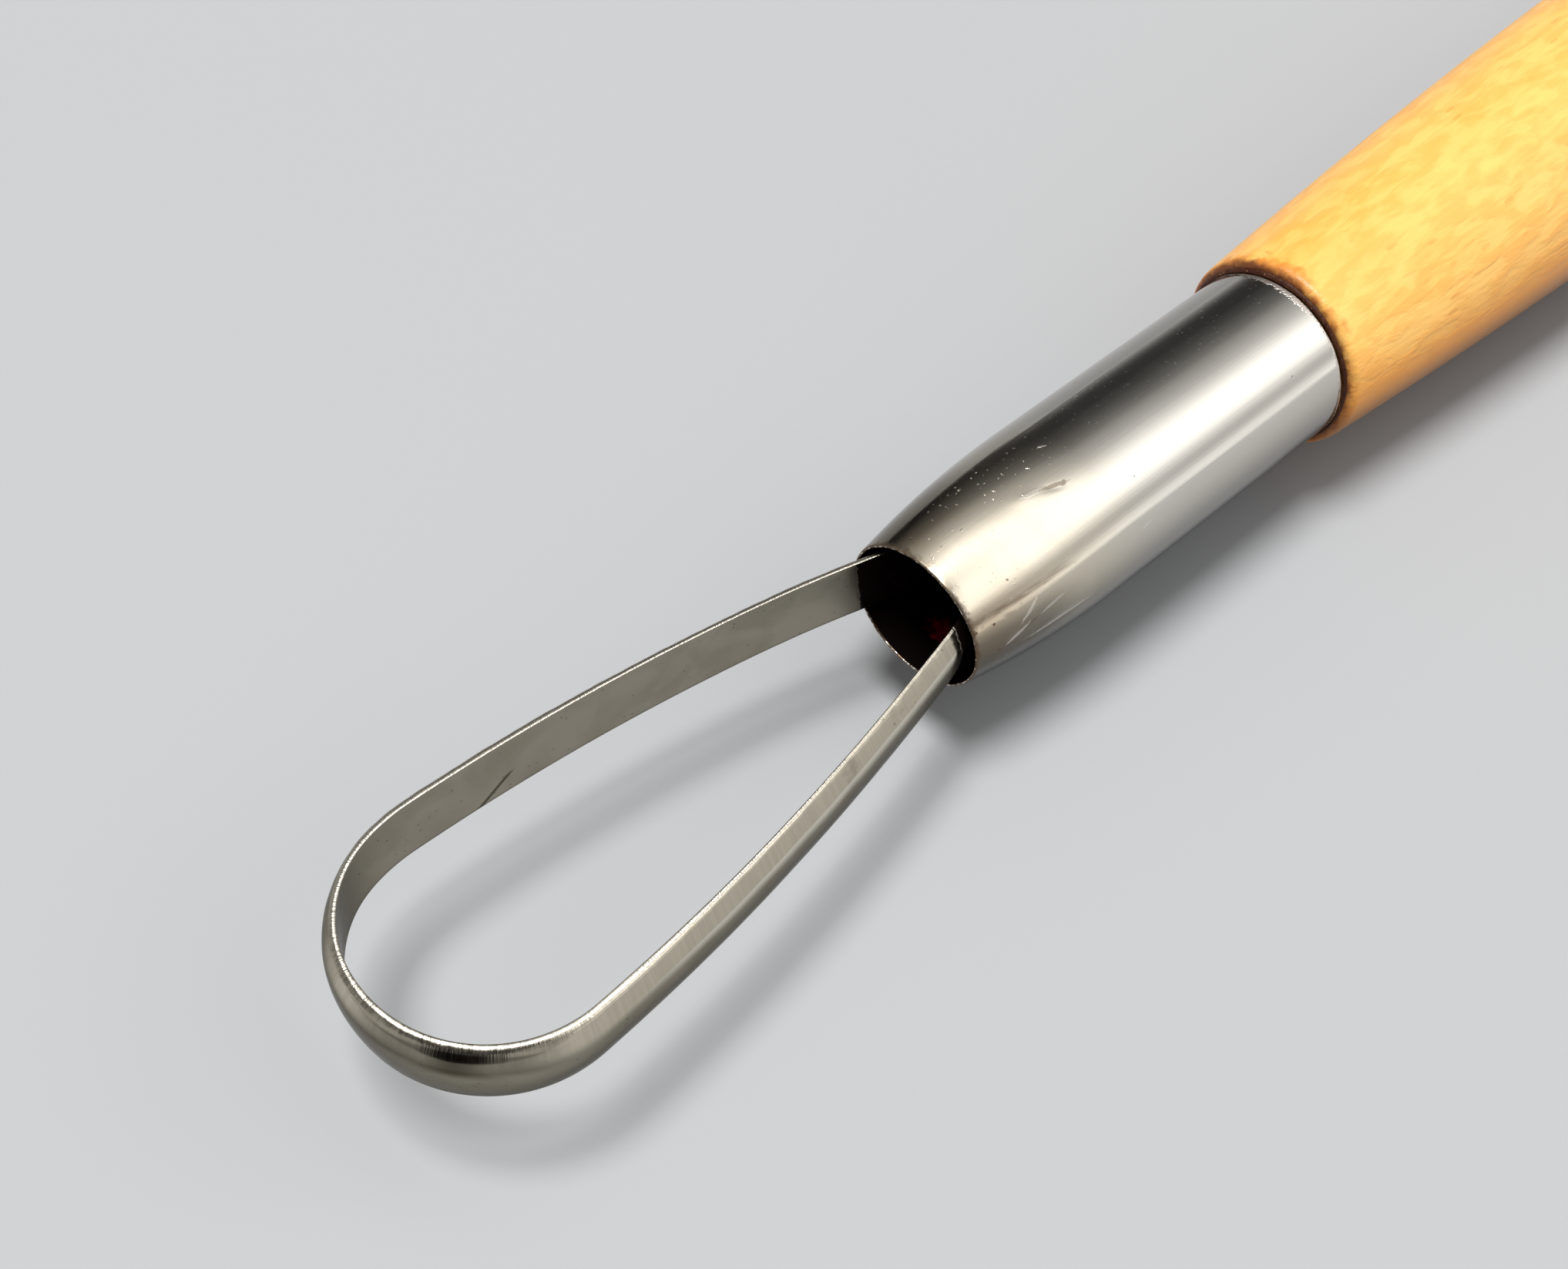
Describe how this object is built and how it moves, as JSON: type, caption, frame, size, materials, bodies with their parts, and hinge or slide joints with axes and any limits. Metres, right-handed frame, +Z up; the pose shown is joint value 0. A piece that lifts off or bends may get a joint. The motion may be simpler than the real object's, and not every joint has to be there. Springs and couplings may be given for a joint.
{
  "type": "double-ended ribbon tool",
  "caption": "Clay trimming tool: a turned wooden handle with a metal ferrule and a bent steel ribbon loop on each end, one pear-shaped and one square-nosed.",
  "frame": {"origin": "middle of the handle's underside, on the narrow flat that the tool lies on", "axes": "+X along the tool, from the pear-shaped loop at -X to the square-nosed loop; +Z up, square to the plane of the loops; Y across them"},
  "size_m": [0.2, 0.0126, 0.0125],
  "materials": {
    "lacquered_wood": "turned hardwood under a warm clear lacquer",
    "nickel_ferrule": "polished nickel with fine pits",
    "ribbon_steel": "ground spring steel, crosswise grinding marks on its upper edge",
    "red_resin": "set dark red adhesive, glossy",
    "brown_glue": "thin line of darkened glue"
  },
  "bodies": {
    "root": {"handle": "lacquered_wood", "front_ferrule": "nickel_ferrule", "rear_ferrule": "nickel_ferrule", "front_ribbon_loop": "ribbon_steel", "rear_ribbon_loop": "ribbon_steel", "front_resin_plug": "red_resin", "rear_resin_plug": "red_resin", "front_glue_bead": "brown_glue", "rear_glue_bead": "brown_glue"}
  },
  "joints": []
}
